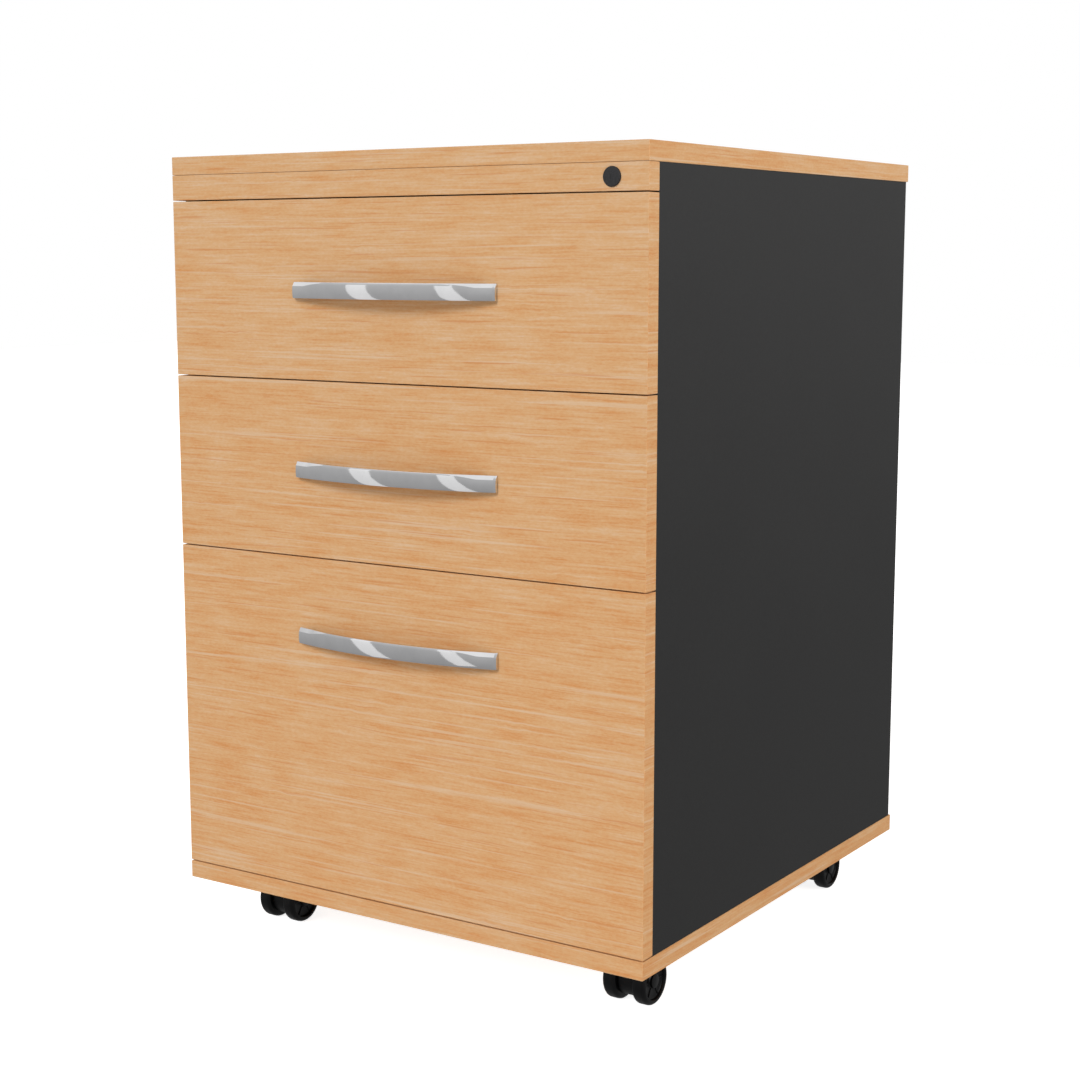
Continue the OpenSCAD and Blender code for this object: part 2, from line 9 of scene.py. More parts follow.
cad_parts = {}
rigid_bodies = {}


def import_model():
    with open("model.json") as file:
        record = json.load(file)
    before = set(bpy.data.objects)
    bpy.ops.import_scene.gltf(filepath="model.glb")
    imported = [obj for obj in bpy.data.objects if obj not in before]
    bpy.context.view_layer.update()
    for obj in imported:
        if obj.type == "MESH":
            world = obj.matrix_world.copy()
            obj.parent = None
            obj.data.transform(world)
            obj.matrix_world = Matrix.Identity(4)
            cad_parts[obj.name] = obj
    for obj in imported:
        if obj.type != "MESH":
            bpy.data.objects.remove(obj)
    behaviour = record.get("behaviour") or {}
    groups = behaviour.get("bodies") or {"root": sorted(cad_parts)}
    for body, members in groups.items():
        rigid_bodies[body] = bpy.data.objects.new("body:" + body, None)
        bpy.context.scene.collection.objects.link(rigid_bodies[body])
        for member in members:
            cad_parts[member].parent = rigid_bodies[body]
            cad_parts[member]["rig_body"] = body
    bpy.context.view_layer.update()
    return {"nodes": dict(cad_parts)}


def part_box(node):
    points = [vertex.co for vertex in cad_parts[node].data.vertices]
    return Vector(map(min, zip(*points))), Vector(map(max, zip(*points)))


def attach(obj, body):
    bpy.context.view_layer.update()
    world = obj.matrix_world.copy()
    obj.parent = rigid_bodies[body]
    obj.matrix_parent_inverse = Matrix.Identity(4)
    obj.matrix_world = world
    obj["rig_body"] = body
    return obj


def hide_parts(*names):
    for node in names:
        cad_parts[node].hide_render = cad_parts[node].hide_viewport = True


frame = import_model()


# ---- Beech boards: top, bottom, lock rail and the three drawer fronts -------------------------
# Chipboard 15 mm thick with a beech-pattern melamine face and a beech edge band on every edge
# that shows. The band is flush-trimmed, which leaves each edge with a small round.
MM = 0.001
BAND_ROUND = 0.5 * MM
BEECH_NODES = ["top_board", "bottom_board", "lock_rail"] + [f"drawer_{n}_front" for n in (1, 2, 3)]


def srgb(red, green, blue):
    """A colour as a paint card gives it, 0 to 255, as the linear values that a shader takes."""
    shares = [c / 255 for c in (red, green, blue)]
    return [c / 12.92 if c <= 0.04045 else ((c + 0.055) / 1.055) ** 2.4 for c in shares] + [1.0]


def finish(name):
    """A new material, with its node tree and its Principled shader."""
    material = bpy.data.materials.new(name)
    material.use_nodes = True
    tree = material.node_tree
    shader = tree.nodes["Principled BSDF"]
    return material, tree, shader


def add(tree, kind, inputs=None, **settings):
    """One shader node with its settings, and its inputs as numbers, colours or other nodes' sockets."""
    made = tree.nodes.new("ShaderNode" + kind)
    for key, value in settings.items():
        setattr(made, key, value)
    for key, value in (inputs or {}).items():
        if isinstance(value, bpy.types.NodeSocket):
            tree.links.new(value, made.inputs[key])
        else:
            made.inputs[key].default_value = value
    return made


def ramp(tree, source, stops):
    """A colour ramp over a value, from (place, colour) stops."""
    made = add(tree, "ValToRGB", {"Fac": source})
    scale = made.color_ramp.elements
    while len(scale) < len(stops):
        scale.new(0.5)
    for element, (place, colour) in zip(scale, stops):
        element.position = place
        element.color = colour
    return made.outputs["Color"]


def band(tree, source, low, high):
    """0 below low, 1 above high, and smooth in between."""
    made = add(tree, "MapRange", {"Value": source, "From Min": low, "From Max": high},
               interpolation_type="SMOOTHSTEP")
    return made.outputs["Result"]


def sums(tree, operation, first, second):
    """One step of arithmetic on two values, each a number or a socket."""
    made = add(tree, "Math", {0: first, 1: second}, operation=operation)
    return made.outputs["Value"]


def blend_colours(tree, share, first, second):
    """The first colour with a share of the second one over it."""
    made = add(tree, "Mix", data_type="RGBA")
    for socket, value in ((made.inputs["Factor"], share), (made.inputs[6], first), (made.inputs[7], second)):
        if isinstance(value, bpy.types.NodeSocket):
            tree.links.new(value, socket)
        else:
            socket.default_value = value
    return made.outputs[2]


def bump(tree, shader, height, strength, distance):
    """Fine relief on the surface, this deep in metres where the height is 1."""
    made = add(tree, "Bump", {"Height": height, "Strength": strength, "Distance": distance})
    tree.links.new(made.outputs["Normal"], shader.inputs["Normal"])


def beech_finish():
    """Beech melamine, its grain level on the fronts and along the band on the side edges, painted paler
    higher up as painted light and darker on the side edges as painted shade.
    """
    material, tree, shader = finish("beech_melamine")
    place = add(tree, "TexCoord")
    spot = add(tree, "SeparateXYZ", {"Vector": place.outputs["Object"]}).outputs
    facing = add(tree, "SeparateXYZ", {"Vector": place.outputs["Normal"]}).outputs
    sideways = sums(tree, "GREATER_THAN", sums(tree, "ABSOLUTE", facing["X"], 0.0), 0.7)
    turned = sums(tree, "SUBTRACT", spot["Y"], spot["X"])
    along = sums(tree, "ADD", spot["X"], sums(tree, "MULTIPLY", turned, sideways))
    across = sums(tree, "SUBTRACT", spot["Y"], sums(tree, "MULTIPLY", turned, sideways))

    def grain(per_m_along, per_m_across, shift, detail=2.0, wander=None):
        """Noise drawn out along the grain. shift moves it, so that no two layers agree."""
        up = spot["Z"] if wander is None else sums(tree, "ADD", spot["Z"], wander)
        vector = add(tree, "CombineXYZ", {
            "X": sums(tree, "MULTIPLY", along, per_m_along),
            "Y": sums(tree, "MULTIPLY", across, per_m_across),
            "Z": sums(tree, "MULTIPLY", up, per_m_across)})
        shifts = (shift, 0.37 * shift, 0.71 * shift)
        moved = add(tree, "VectorMath", {0: vector.outputs["Vector"], 1: shifts})
        made = add(tree, "TexNoise", {"Vector": moved.outputs["Vector"], "Scale": 1.0, "Detail": detail,
                                      "Roughness": 0.55})
        return made.outputs["Fac"]

    swing = sums(tree, "MULTIPLY", sums(tree, "SUBTRACT", grain(2.5, 7, 3.1, 0.0), 0.5), 6 * MM)
    ripple = sums(tree, "MULTIPLY", sums(tree, "SUBTRACT", grain(90, 120, 8.3, 1.0), 0.5), 3 * MM)
    curls = band(tree, grain(14, 45, 21.7, 1.0), 0.58, 0.68)
    wander = sums(tree, "ADD", swing, sums(tree, "MULTIPLY", ripple, curls))

    # Painted light and shade: the beech is painted a little paler higher up the cabinet, and a little darker
    # on the edges that face sideways.
    tone = sums(tree, "MULTIPLY", band(tree, spot["Z"], 0.34, 0.62), 0.035)
    tone = sums(tree, "SUBTRACT", tone, sums(tree, "MULTIPLY", sideways, 0.035))
    broad = grain(20, 85, 41.3, 1.0, wander)
    rings = grain(7, 310, 55.9, 2.0, wander)
    fibres = grain(30, 700, 67.1, 2.0, wander)
    rays = grain(330, 850, 74.6, 1.0, wander)
    for layer, weight in ((broad, 0.21), (rings, 0.25), (fibres, 0.34), (rays, 0.2)):
        tone = sums(tree, "ADD", tone, sums(tree, "MULTIPLY", layer, weight))
    wood = ramp(tree, tone, [
        (0.34, srgb(208, 143, 86)), (0.43, srgb(211, 156, 104)), (0.5, srgb(213, 165, 116)),
        (0.57, srgb(215, 173, 129)), (0.66, srgb(217, 182, 146))])

    pale_lines = band(tree, grain(5, 400, 83.2, 1.0, wander), 0.62, 0.7)
    wood = blend_colours(tree, sums(tree, "MULTIPLY", pale_lines, 0.5), wood, srgb(217, 190, 160))
    warm_lines = band(tree, grain(11, 480, 97.6, 1.0, wander), 0.66, 0.74)
    wood = blend_colours(tree, sums(tree, "MULTIPLY", warm_lines, 0.5), wood, srgb(203, 132, 76))
    flecks = band(tree, grain(60, 520, 113.4, 1.0, wander), 0.66, 0.76)
    wood = blend_colours(tree, sums(tree, "MULTIPLY", flecks, 0.25), wood, srgb(205, 138, 86))
    tree.links.new(wood, shader.inputs["Base Color"])

    pores = grain(180, 2600, 131.8, 2.0)
    shader.inputs["Specular IOR Level"].default_value = 0.1
    gloss = add(tree, "MapRange", {"Value": pores, "To Min": 0.44, "To Max": 0.56})
    tree.links.new(gloss.outputs["Result"], shader.inputs["Roughness"])
    bump(tree, shader, pores, 0.12, 0.05 * MM)
    return material


def merged_copy(node, split_z=None):
    """A CAD node's mesh as a bmesh of whole flat faces. Those with bores are split level with them."""
    weld = 0.001 * MM
    bm = bmesh.new()
    bm.from_mesh(frame["nodes"][node].data)
    bmesh.ops.remove_doubles(bm, verts=bm.verts, dist=weld)
    inner_edges = bm.edges[:]
    if split_z is not None:
        bmesh.ops.bisect_plane(bm, geom=bm.verts[:] + bm.edges[:] + bm.faces[:], dist=weld,
                               plane_co=(0, 0, split_z), plane_no=(0, 0, 1))
        inner_edges = [e for e in bm.edges if max(abs(v.co.z - split_z) for v in e.verts) > 0.01 * MM]
    bmesh.ops.dissolve_limit(bm, angle_limit=math.radians(0.5), verts=bm.verts, edges=inner_edges)
    return bm


def outline_edges(bm, node):
    """The edges along the twelve sides of a node's box."""
    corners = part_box(node)

    def sides(vert):
        return {(axis, k) for axis in range(3) for k in (0, 1)
                if abs(vert.co[axis] - corners[k][axis]) < 0.01 * MM}

    return [e for e in bm.edges if len(sides(e.verts[0]) & sides(e.verts[1])) >= 2]


def piece(name, bm, material, body, stands_for=()):
    """Turns a finished bmesh into a piece that rides on a body and may stand for CAD nodes."""
    mesh = bpy.data.meshes.new(name)
    bm.to_mesh(mesh)
    bm.free()
    for one in material if isinstance(material, list) else [material]:
        mesh.materials.append(one)
    made = bpy.data.objects.new(name, mesh)
    bpy.context.scene.collection.objects.link(made)
    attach(made, body)
    if stands_for:
        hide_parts(*stands_for)
    return made


def eased_board(node, material, body, round_by, split_z=None):
    """A board as CAD has it, bores and grooves included, with its outer edges rounded."""
    bm = merged_copy(node, split_z)
    bmesh.ops.bevel(bm, geom=outline_edges(bm, node), offset=round_by, offset_type="OFFSET",
                    segments=2, profile=0.5, material=-1, affect="EDGES")
    return piece(node + "_finished", bm, material, body, [node])


def body_of(node):
    """The body that a CAD node rides on."""
    return frame["nodes"][node]["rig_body"]


beech = beech_finish()
for board in BEECH_NODES:
    bored_for = {"lock_rail": "lock_housing"}.get(board, board.replace("front", "handle"))
    bored_z = sum(corner.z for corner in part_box(bored_for)) / 2
    split_z = None if board == bored_for else bored_z
    eased_board(board, beech, body_of(board), BAND_ROUND, split_z)


# ---- Charcoal side and back panels -------------------------------------------------------------
# The same board in charcoal melamine with a fine pearl texture, between the beech boards.
# The back panel stands between the two sides, and cam fittings draw them all together.
PANEL_ROUND = 0.3 * MM


def charcoal_finish():
    """Charcoal melamine, with a fine pearl and a slight mottle, and painted light that makes it paler near
    the top and darker towards the bottom.
    """
    material, tree, shader = finish("charcoal_melamine")
    place = add(tree, "TexCoord").outputs["Object"]
    mottle = add(tree, "TexNoise", {"Vector": place, "Scale": 260.0, "Detail": 3.0}).outputs["Fac"]
    cloud = add(tree, "TexNoise", {"Vector": place, "Scale": 7.0, "Detail": 2.0}).outputs["Fac"]
    height = add(tree, "SeparateXYZ", {"Vector": place}).outputs["Z"]
    # Painted light and shade: the panels are painted paler towards the top and darker towards the bottom.
    tone = sums(tree, "MULTIPLY", band(tree, height, 0.2, 0.85), 0.6)
    for layer in (mottle, cloud):
        tone = sums(tree, "ADD", tone, sums(tree, "MULTIPLY", layer, 0.2))
    colour = ramp(tree, tone, [(0.2, srgb(29, 29, 29)), (0.8, srgb(44, 44, 44))])
    tree.links.new(colour, shader.inputs["Base Color"])
    pearl = add(tree, "TexNoise", {"Vector": place, "Scale": 900.0, "Detail": 2.0}).outputs["Fac"]
    gloss = add(tree, "MapRange", {"Value": pearl, "To Min": 0.5, "To Max": 0.62})
    tree.links.new(gloss.outputs["Result"], shader.inputs["Roughness"])
    shader.inputs["Specular IOR Level"].default_value = 0.3
    bump(tree, shader, pearl, 0.15, 0.05 * MM)
    return material


charcoal = charcoal_finish()
for panel in ("left_side_panel", "right_side_panel", "back_panel"):
    eased_board(panel, charcoal, "cabinet", PANEL_ROUND)


# ---- Handles -----------------------------------------------------------------------------------
# Bow handles cast in zinc and chromed, one on each drawer front: a slightly crowned strap between
# two solid ends. Its upper edge is chamfered, more widely towards the ends, and two bosses behind
# it take the screws from inside the drawer.
STRAP_T = 5 * MM
STRAP_END_T = 4.5 * MM
STRAP_STEPS = 64
FACE_CUTS = 9
HANDLE_FOOT = 10 * MM
HANDLE_CROWN = 0.4 * MM
HANDLE_CORNER = 1.4 * MM
CHAMFER_MIDDLE = 0.7 * MM
CHAMFER_END = 3.2 * MM
CHAMFER_LOW = 0.5 * MM
CHAMFER_STEEPER = 0.25       # by how much less the wide chamfer runs back than down
CHAMFER_STAYS_OFF = 0.6 * MM
WIDENS_FROM = 0.56           # of the way from the middle to the end
WIDENS_OVER = 0.28
HANDLE_SCREWS = 160 * MM
BOSS_D = 9 * MM
BOSS_REACH = 7 * MM


def smoothed(made, sharp_degrees):
    """Shades a piece smooth, but for the edges that turn by more than this."""
    made.data.polygons.foreach_set("use_smooth", [True] * len(made.data.polygons))
    made.data.set_sharp_from_angle(angle=math.radians(sharp_degrees))


def handle_finish():
    """Polished metal with the faint ripple and the fine haze that plating over a casting has."""
    material, tree, shader = finish("chromed_handle")
    place = add(tree, "TexCoord").outputs["Object"]
    haze = add(tree, "TexNoise", {"Vector": place, "Scale": 55.0, "Detail": 3.0}).outputs["Fac"]
    colour = ramp(tree, haze, [(0.35, srgb(226, 226, 227)), (0.65, srgb(232, 232, 233))])
    tree.links.new(colour, shader.inputs["Base Color"])
    shader.inputs["Metallic"].default_value = 1.0
    gloss = add(tree, "MapRange", {"Value": haze, "To Min": 0.03, "To Max": 0.06})
    tree.links.new(gloss.outputs["Result"], shader.inputs["Roughness"])
    ripple = add(tree, "TexNoise", {"Vector": place, "Scale": 90.0, "Detail": 1.0}).outputs["Fac"]
    bump(tree, shader, ripple, 0.15, 0.15 * MM)
    return material


def bow_edge(bm, radius, centre_y, half_length, z):
    """A chain of points on an arc that bows out to -Y, from -half_length to +half_length."""
    turn = math.asin(half_length / radius)
    start = bm.verts.new((-half_length, centre_y - radius * math.cos(turn), z))
    bmesh.ops.spin(bm, geom=[start], cent=(0, centre_y, z), axis=(0, 0, 1), angle=2 * turn,
                   steps=STRAP_STEPS)


def is_upright(edge):
    """Whether an edge of the raised strap runs from its lower side to its upper side."""
    return abs(edge.verts[0].co.z - edge.verts[1].co.z) > 1 * MM


def bow_handle(n, material):
    """The outline of a strap seen from above, raised to its height, then crowned and chamfered."""
    low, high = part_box(f"drawer_{n}_handle")
    front = high.y
    reach = front - low.y
    half = high.x
    rise = reach - STRAP_END_T
    radius = (half ** 2 + rise ** 2) / (2 * rise)
    centre_y = low.y + radius
    mid_z = (low.z + high.z) / 2

    bm = bmesh.new()
    chains = []
    for arc_r, arc_half in ((radius, half), (radius - STRAP_T, half - HANDLE_FOOT)):
        before = set(bm.verts)
        bow_edge(bm, arc_r, centre_y, arc_half, low.z)
        arc = sorted((v for v in bm.verts if v not in before), key=lambda v: v.co.x)
        for end, x in ((arc[0], -arc_half), (arc[-1], arc_half)):
            foot = bm.verts.new((x, front, low.z))
            bm.edges.new((end, foot))
        chains.append([e for v in bm.verts if v not in before for e in v.link_edges])
    bmesh.ops.bridge_loops(bm, edges=list({e for chain in chains for e in chain}))
    raised = bmesh.ops.extrude_face_region(bm, geom=list(bm.faces))
    up = [v for v in raised["geom"] if isinstance(v, bmesh.types.BMVert)]
    bmesh.ops.translate(bm, verts=up, vec=(0, 0, high.z - low.z))
    bmesh.ops.recalc_face_normals(bm, faces=bm.faces)

    def on_end(v):
        return v.co.y < front - 1 * MM and abs(v.co.x) > half - 0.01 * MM

    def on_bow(v):
        """On an end or on the bow's face, with the odd point that a bevelled corner leaves by it."""
        from_centre = math.hypot(v.co.x, v.co.y - centre_y)
        return on_end(v) or (v.co.y < front - 1 * MM and from_centre > radius - 1.2 * MM)

    corners = [e for e in bm.edges if is_upright(e) and on_end(e.verts[0])]
    bmesh.ops.bevel(bm, geom=corners, offset=HANDLE_CORNER, offset_type="OFFSET", segments=1, profile=0.5,
                    material=-1, affect="EDGES")

    uprights = [e for e in bm.edges if is_upright(e) and on_bow(e.verts[0])]
    bmesh.ops.subdivide_edges(bm, edges=uprights, cuts=FACE_CUTS, use_grid_fill=True)
    row_gap = (high.z - low.z) / (FACE_CUTS + 1)
    for v in [v for v in bm.verts if on_bow(v)]:
        along = abs(v.co.x) / half
        widen = min(1.0, max(0.0, (along - WIDENS_FROM) / WIDENS_OVER)) ** 2
        chamfer = CHAMFER_MIDDLE + (CHAMFER_END - CHAMFER_MIDDLE) * widen
        chamfer_back = min(chamfer * (1 - CHAMFER_STEEPER * widen), front - v.co.y - CHAMFER_STAYS_OFF)
        row = round((v.co.z - low.z) / row_gap)
        if row == 0:
            v.co.y += CHAMFER_LOW
        elif row == FACE_CUTS + 1:
            v.co.y += chamfer_back
        else:
            share = (row - 1) / (FACE_CUTS - 1)
            v.co.z = low.z + CHAMFER_LOW + share * (high.z - chamfer - low.z - CHAMFER_LOW)
            v.co.y += HANDLE_CROWN * (2 * share - 1) ** 2

    for side in (-1, 1):
        screw = Matrix.Translation((side * HANDLE_SCREWS / 2, front, mid_z))
        turned = screw @ Matrix.Rotation(math.pi / 2, 4, "X")
        ring = bmesh.ops.create_circle(bm, segments=32, radius=BOSS_D / 2, matrix=turned)["verts"]
        rim = list({e for v in ring for e in v.link_edges})
        grown = bmesh.ops.extrude_edge_only(bm, edges=rim)
        moved = [v for v in grown["geom"] if isinstance(v, bmesh.types.BMVert)]
        bmesh.ops.translate(bm, verts=moved, vec=(0, -BOSS_REACH, 0))
    made = piece(f"bow_handle_{n}", bm, material, f"drawer_{n}", [f"drawer_{n}_handle"])
    smoothed(made, 20)


chromed = handle_finish()
for n in (1, 2, 3):
    bow_handle(n, chromed)


# ---- Lock --------------------------------------------------------------------------------------
# A black barrel through the rail with a flat round face, and the plug that the key turns.
# The plug's crank lifts a zinc-plated bar in the right panel, whose pins bar the drawers.
def coated_finish(name, colour, rough, grain_scale, strength):
    """Black coating or moulded plastic: a fine even texture with a slight mottle."""
    material, tree, shader = finish(name)
    place = add(tree, "TexCoord").outputs["Object"]
    grit = add(tree, "TexNoise", {"Vector": place, "Scale": grain_scale, "Detail": 3.0}).outputs["Fac"]
    lighter = [min(1.0, c * 1.35) for c in colour[:3]] + [1.0]
    shade = ramp(tree, grit, [(0.35, colour), (0.7, lighter)])
    tree.links.new(shade, shader.inputs["Base Color"])
    shader.inputs["Specular IOR Level"].default_value = 0.22
    gloss = add(tree, "MapRange", {"Value": grit, "To Min": rough - 0.06, "To Max": rough + 0.08})
    tree.links.new(gloss.outputs["Result"], shader.inputs["Roughness"])
    bump(tree, shader, grit, strength, 0.05 * MM)
    return material


def steel_finish(name, low, high, rough):
    """Zinc plate: a cool grey with soft spangle and a slightly brushed sheen."""
    material, tree, shader = finish(name)
    place = add(tree, "TexCoord").outputs["Object"]
    crystals = add(tree, "TexVoronoi", {"Vector": place, "Scale": 160.0}, feature="SMOOTH_F1")
    spangle = crystals.outputs["Distance"]
    drawn = add(tree, "Mapping", {"Vector": place, "Scale": (900.0, 30.0, 900.0)}).outputs["Vector"]
    lines = add(tree, "TexNoise", {"Vector": drawn, "Scale": 1.0, "Detail": 2.0}).outputs["Fac"]
    tone = sums(tree, "ADD", sums(tree, "MULTIPLY", spangle, 0.5), sums(tree, "MULTIPLY", lines, 0.5))
    tree.links.new(ramp(tree, tone, [(0.2, low), (0.75, high)]), shader.inputs["Base Color"])
    shader.inputs["Metallic"].default_value = 1.0
    gloss = add(tree, "MapRange", {"Value": lines, "To Min": rough - 0.08, "To Max": rough + 0.08})
    tree.links.new(gloss.outputs["Result"], shader.inputs["Roughness"])
    bump(tree, shader, lines, 0.1, 0.03 * MM)
    return material


def lathe(bm, outline, centre, axis, steps):
    """Turns an outline of (radius, distance along the axis) points once round the axis."""
    points = [bm.verts.new(Vector(centre) + Vector(axis) * run + Vector((0, 0, r))) for r, run in outline]
    edges = [bm.edges.new(pair) for pair in zip(points, points[1:])]
    bmesh.ops.spin(bm, geom=points + edges, cent=centre, axis=axis, angle=2 * math.pi,
                   steps=steps, use_merge=True)
    bmesh.ops.remove_doubles(bm, verts=bm.verts, dist=0.002 * MM)
    bmesh.ops.recalc_face_normals(bm, faces=bm.faces)


def refinish(node, material):
    """A better finish for a CAD node that shows as it is."""
    shown = frame["nodes"][node].data
    shown.materials.clear()
    shown.materials.append(material)


lock_black = coated_finish("lock_black_coat", srgb(47, 47, 48), 0.5, 700.0, 0.05)
zinc = steel_finish("zinc_plate", srgb(150, 152, 156), srgb(186, 188, 192), 0.36)

lock_low, lock_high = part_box("lock_housing")
plug_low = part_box("lock_plug")[0]
rail_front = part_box("lock_rail")[0].y
lock_x = (lock_low.x + lock_high.x) / 2
lock_z = (lock_low.z + lock_high.z) / 2
LOCK_FACE_R = 7.5 * MM
FACE_ROUND = 0.9 * MM
BARREL_R = 6 * MM
PLUG_R = 4 * MM
PLUG_CLEAR = 0.02 * MM
BORE_STEP = 0.1 * MM
NUT_T = 3 * MM
bore_r = PLUG_R + PLUG_CLEAR
nut_r = (lock_high.x - lock_low.x) / 2
face_proud = rail_front - lock_low.y
housing_run = lock_high.y - lock_low.y

barrel = [(bore_r, BORE_STEP), (bore_r, 0), (LOCK_FACE_R - FACE_ROUND, 0)]
for turn in (math.radians(60), math.radians(30)):
    barrel.append((LOCK_FACE_R - FACE_ROUND * (1 - math.cos(turn)), FACE_ROUND * (1 - math.sin(turn))))
barrel += [(LOCK_FACE_R, FACE_ROUND), (LOCK_FACE_R, face_proud), (BARREL_R, face_proud),
           (BARREL_R, housing_run - NUT_T), (nut_r, housing_run - NUT_T), (nut_r, housing_run),
           (bore_r, housing_run), (bore_r, BORE_STEP)]
bm = bmesh.new()
lathe(bm, barrel, (lock_x, lock_low.y, lock_z), (0, 1, 0), 64)
smoothed(piece("lock_barrel", bm, lock_black, "cabinet", ["lock_housing"]), 30)

# The shutter closes the key slot a hair below the plug's face.
SHUTTER = Vector((1.14, 5.9, 4.94)) * MM
SHUTTER_SUNK = 0.04 * MM
shutter_at = Vector((lock_x, plug_low.y + SHUTTER_SUNK + SHUTTER.y / 2, lock_z))
bm = bmesh.new()
bmesh.ops.create_cube(bm, size=1, matrix=Matrix.Translation(shutter_at) @ Matrix.Diagonal((*SHUTTER, 1)))
bmesh.ops.bevel(bm, geom=bm.edges[:], offset=0.12 * MM, offset_type="OFFSET", segments=2, profile=0.5,
                material=-1, affect="EDGES")
piece("key_slot_shutter", bm, lock_black, "lock_plug")

refinish("lock_plug", lock_black)
refinish("lock_bar", zinc)
refinish("lock_bar_guides", zinc)


# ---- Drawer boxes ------------------------------------------------------------------------------
# Pale foil-wrapped walls 12 mm thick around a thin base that slides into their grooves, with
# steel slides on both sides. The file drawer has a pair of steel rails for hanging files.
WALL_ROUND = 0.6 * MM


def foil_finish(name, dark, light):
    """Pale foil with a faint linen print."""
    material, tree, shader = finish(name)
    place = add(tree, "TexCoord").outputs["Object"]
    weave = []
    for stretch in ((1500.0, 90.0, 90.0), (90.0, 1500.0, 1500.0)):
        thread = add(tree, "Mapping", {"Vector": place, "Scale": stretch}).outputs["Vector"]
        weave.append(add(tree, "TexNoise", {"Vector": thread, "Scale": 1.0, "Detail": 2.0}).outputs["Fac"])
    linen = sums(tree, "MULTIPLY", sums(tree, "ADD", weave[0], weave[1]), 0.5)
    tree.links.new(ramp(tree, linen, [(0.4, dark), (0.6, light)]), shader.inputs["Base Color"])
    gloss = add(tree, "MapRange", {"Value": linen, "To Min": 0.42, "To Max": 0.54})
    tree.links.new(gloss.outputs["Result"], shader.inputs["Roughness"])
    bump(tree, shader, linen, 0.15, 0.05 * MM)
    return material


wall_foil = foil_finish("drawer_wall_foil", srgb(206, 206, 202), srgb(217, 217, 213))
base_foil = foil_finish("drawer_base_foil", srgb(196, 196, 192), srgb(211, 211, 207))
catch_black = coated_finish("catch_black_plastic", srgb(30, 30, 31), 0.45, 500.0, 0.2)
for n in (1, 2, 3):
    for wall in ("left_wall", "right_wall", "back_wall"):
        eased_board(f"drawer_{n}_{wall}", wall_foil, f"drawer_{n}", WALL_ROUND)
    refinish(f"drawer_{n}_base", base_foil)
    refinish(f"drawer_{n}_slides", zinc)
    refinish(f"drawer_{n}_handle_screws", zinc)
    refinish(f"drawer_{n}_catch", catch_black)
for hardware in ("file_rails", "file_middle_slides", "left_cabinet_slides", "right_cabinet_slides",
                 "cam_fittings"):
    refinish(hardware, zinc)


# ---- Casters -----------------------------------------------------------------------------------
# Four twin-wheel casters in black nylon. Each wheel has a rounded tread and a ribbed dish round
# its hub; the wheels turn on a steel axle in the housing, which swivels on the plate's pin.
TREAD_ROUND = 3.5 * MM
DISH_R = 15.5 * MM
DISH_DEPTH = 3 * MM
HUB_R = 6 * MM
AXLE_R = 3 * MM
AXLE_CLEAR = 0.05 * MM
RIBS = 6
RIB_T = 1.6 * MM
RIB_DEPTH = 1.1 * MM
RIB_RISE = 0.75 * MM

nylon = coated_finish("caster_black_nylon", srgb(5, 5, 6), 0.42, 420.0, 0.15)
wheel_black = coated_finish("wheel_black_nylon", srgb(5, 5, 6), 0.36, 300.0, 0.1)


def wheel(name, outward):
    """One wheel, turned as a solid with its dish on the outer side, and ribs set into the dish."""
    low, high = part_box(name)
    r = (high.z - low.z) / 2
    w = high.x - low.x
    dish = w - DISH_DEPTH
    bore_r = AXLE_R + AXLE_CLEAR
    inner_x = low.x if outward > 0 else high.x
    centre = Vector((inner_x, (low.y + high.y) / 2, (low.z + high.z) / 2))
    axis = (outward, 0, 0)

    def shoulder(at, from_deg):
        """A quarter turn of points round a shoulder of the tread."""
        turns = [math.radians(from_deg + 15 * k) for k in range(7)]
        return [(r - TREAD_ROUND + TREAD_ROUND * math.sin(t), at - TREAD_ROUND * math.cos(t)) for t in turns]

    outline = [(0, dish), (bore_r, dish), (bore_r, 0)]
    outline += shoulder(TREAD_ROUND, 0)
    outline += shoulder(w - TREAD_ROUND, 90)
    outline += [(DISH_R + 0.4 * MM, w), (DISH_R, w - 0.4 * MM), (DISH_R - 0.4 * MM, dish + 0.5 * MM),
                (DISH_R - 1.2 * MM, dish), (HUB_R + 1 * MM, dish), (HUB_R, dish + 0.8 * MM),
                (HUB_R - 0.3 * MM, w - 0.5 * MM), (HUB_R - 1.4 * MM, w - 0.1 * MM), (0, w)]
    bm = bmesh.new()
    lathe(bm, outline, centre, axis, 72)
    for k in range(RIBS):
        spot = Matrix.Translation(centre + Vector(axis) * (dish + RIB_RISE - RIB_DEPTH / 2))
        turn = Matrix.Rotation(2 * math.pi * (k + 0.5) / RIBS, 4, "X")
        out = Matrix.Translation((0, 0, (HUB_R + DISH_R) / 2))
        size = Matrix.Diagonal((RIB_DEPTH, RIB_T, DISH_R - HUB_R + 1 * MM, 1))
        made = bmesh.ops.create_cube(bm, size=1, matrix=spot @ turn @ out @ size)["verts"]
        rims = list({e for v in made for e in v.link_edges})
        bmesh.ops.bevel(bm, geom=rims, offset=0.5 * MM, offset_type="OFFSET", segments=2, profile=0.5,
                        material=-1, affect="EDGES")
    smoothed(piece(name + "_turned", bm, wheel_black, body_of(name), [name]), 38)


for c in ("front_left", "front_right", "rear_left", "rear_right"):
    wheel(f"caster_{c}_left_wheel", -1)
    wheel(f"caster_{c}_right_wheel", 1)
    refinish(f"caster_{c}_housing", nylon)
    refinish(f"caster_{c}_axle", zinc)
refinish("caster_plates", zinc)
refinish("caster_screws", zinc)


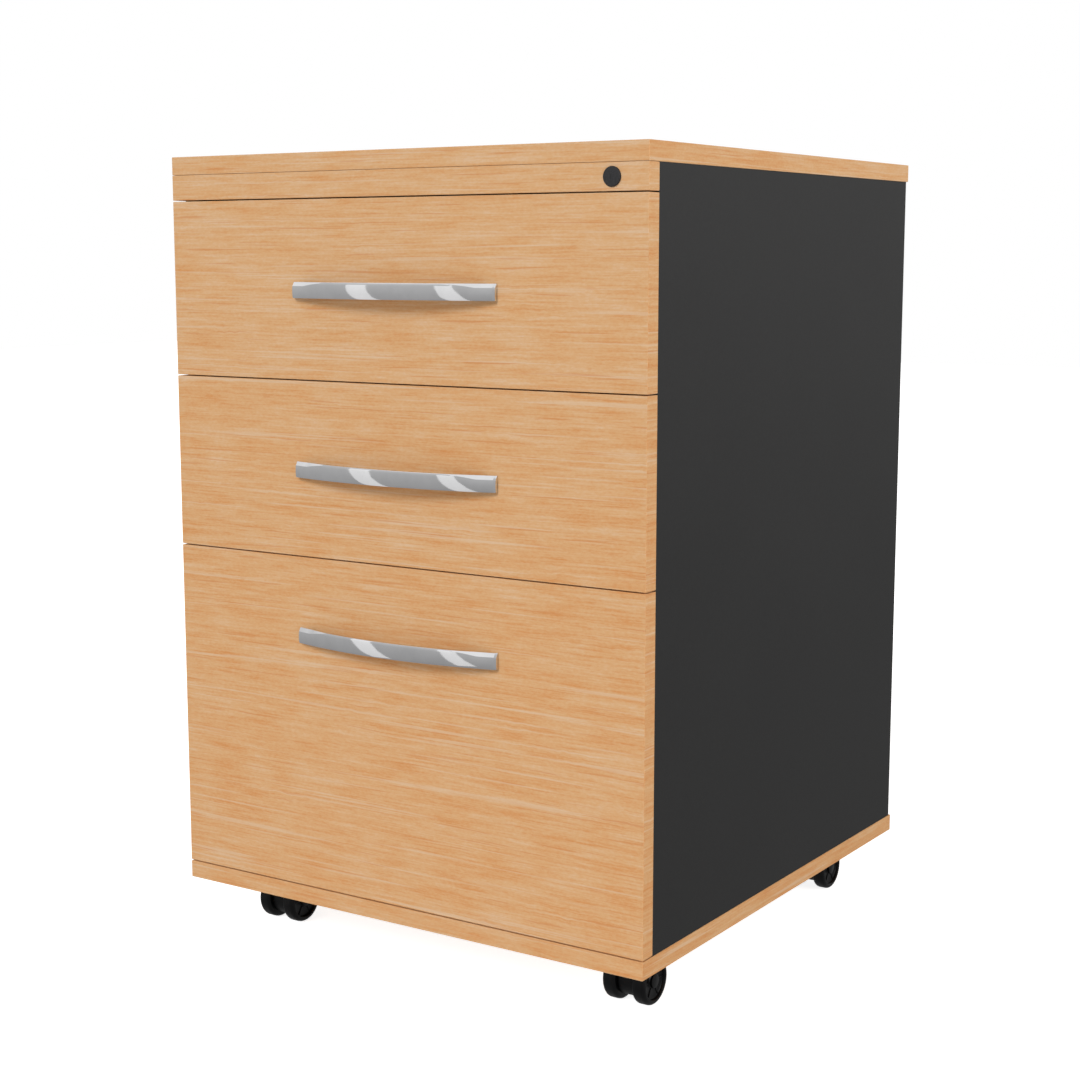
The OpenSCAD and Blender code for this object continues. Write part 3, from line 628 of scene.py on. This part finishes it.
# ---- Studio ------------------------------------------------------------------------------------
# A white floor that keeps a soft shadow, a soft key light from the front, a softbox on the right,
# and a camera a little below the cabinet's top, to the right of its front.
floor_bm = bmesh.new()
bmesh.ops.create_grid(floor_bm, x_segments=2, y_segments=2, size=9)
floor_mesh = bpy.data.meshes.new("studio_floor")
floor_bm.to_mesh(floor_mesh)
floor_bm.free()
floor = bpy.data.objects.new("studio_floor", floor_mesh)
floor.visible_glossy = False
bpy.context.scene.collection.objects.link(floor)

floor_paint, tree, shader = finish("studio_white")
shader.inputs["Base Color"].default_value = (0.8, 0.8, 0.8, 1)
shader.inputs["Roughness"].default_value = 1.0
shader.inputs["Specular IOR Level"].default_value = 0.0
seen = add(tree, "LightPath").outputs["Is Camera Ray"]
glow = add(tree, "Emission", {"Color": (1, 1, 1, 1), "Strength": sums(tree, "MULTIPLY", seen, 0.85)})
lit = add(tree, "AddShader", {0: shader.outputs["BSDF"], 1: glow.outputs["Emission"]})
tree.links.new(lit.outputs["Shader"], tree.nodes["Material Output"].inputs["Surface"])
floor_mesh.materials.append(floor_paint)

world = bpy.data.worlds.new("studio_world")
bpy.context.scene.world = world
world.use_nodes = True
tree = world.node_tree
rays = add(tree, "LightPath").outputs
ambient = tree.nodes["Background"]
ambient.inputs["Color"].default_value = (1.0, 0.955, 0.9, 1)
ambient.inputs["Strength"].default_value = 0.5
backdrop = add(tree, "Background", {"Color": (1, 1, 1, 1), "Strength": 1.0})

# What polished metal mirrors of the room: dim below, and brighter from the ceiling's edge up.
towards = add(tree, "TexCoord").outputs["Generated"]
height = add(tree, "SeparateXYZ", {"Vector": towards}).outputs["Z"]
dome_greys = ((0.28, 0.33), (0.45, 0.42), (0.56, 0.5), (0.69, 0.6), (0.74, 0.9), (1.0, 0.95))
steps = [(share, [grey, grey, grey, 1.0]) for share, grey in dome_greys]
dome = ramp(tree, sums(tree, "MULTIPLY", sums(tree, "ADD", height, 1.0), 0.5), steps)
reflected = add(tree, "Background", {"Color": dome, "Strength": 1.0})
mirrored = sums(tree, "MAXIMUM", rays["Is Glossy Ray"], rays["Is Transmission Ray"])
through = add(tree, "MixShader", {0: mirrored, 1: ambient.outputs["Background"],
                                  2: reflected.outputs["Background"]})
shown = add(tree, "MixShader", {0: rays["Is Camera Ray"], 1: through.outputs["Shader"],
                                2: backdrop.outputs["Background"]})
tree.links.new(shown.outputs["Shader"], tree.nodes["World Output"].inputs["Surface"])


def aimed(lamp, name, place, aim, roll=0.0):
    """Stands a lamp at a place, turned to a point and rolled about its own beam."""
    made = bpy.data.objects.new(name, lamp)
    bpy.context.scene.collection.objects.link(made)
    made.location = place
    turn = (Vector(aim) - Vector(place)).to_track_quat("-Z", "Y").to_matrix()
    made.rotation_euler = (turn @ Matrix.Rotation(math.radians(roll), 3, "Z")).to_euler()
    return made


def softbox(name, place, aim, width, height, radiance, roll=0.0):
    """An area lamp with a stated brightness of its own face."""
    lamp = bpy.data.lights.new(name, "AREA")
    lamp.shape = "RECTANGLE"
    lamp.size = width
    lamp.size_y = height
    lamp.energy = radiance * math.pi * width * height
    return aimed(lamp, name, place, aim, roll)


middle = Vector((0, 0, 0.36))
key_lamp = bpy.data.lights.new("key", "SUN")
key_lamp.energy = 1.6
key_lamp.color = (0.96, 1.0, 1.06)
key_lamp.angle = math.radians(22)
key = aimed(key_lamp, "key", (-0.4, -2.2, 1.75), middle)
key.visible_glossy = False
softbox("side_fill", (4.2, 0.2, 1.5), middle, 2.0, 2.0, 5.6)

# Two tall cards that only polished metal shows: they are the bright patches on the handles.
for name, place, width in (("card_left", (-1.76, -2.03, 0.15), 0.32),
                           ("card_right", (-0.63, -2.63, 0.15), 0.27)):
    card = softbox(name, place, (0, -0.24, 0.15), width, 2.1, 0.42, roll=6)
    card.visible_diffuse = False

eye = bpy.data.cameras.new("camera")
eye.sensor_width = 36
eye.lens = 64.31
eye.shift_y = 0.0136
camera = bpy.data.objects.new("camera", eye)
bpy.context.scene.collection.objects.link(camera)
camera.location = (0.93634, -1.44812, 0.59581)
camera.rotation_euler = (math.radians(90 - 8.735), 0, math.radians(33.177))
bpy.context.scene.camera = camera
bpy.context.scene.view_settings.view_transform = "Standard"
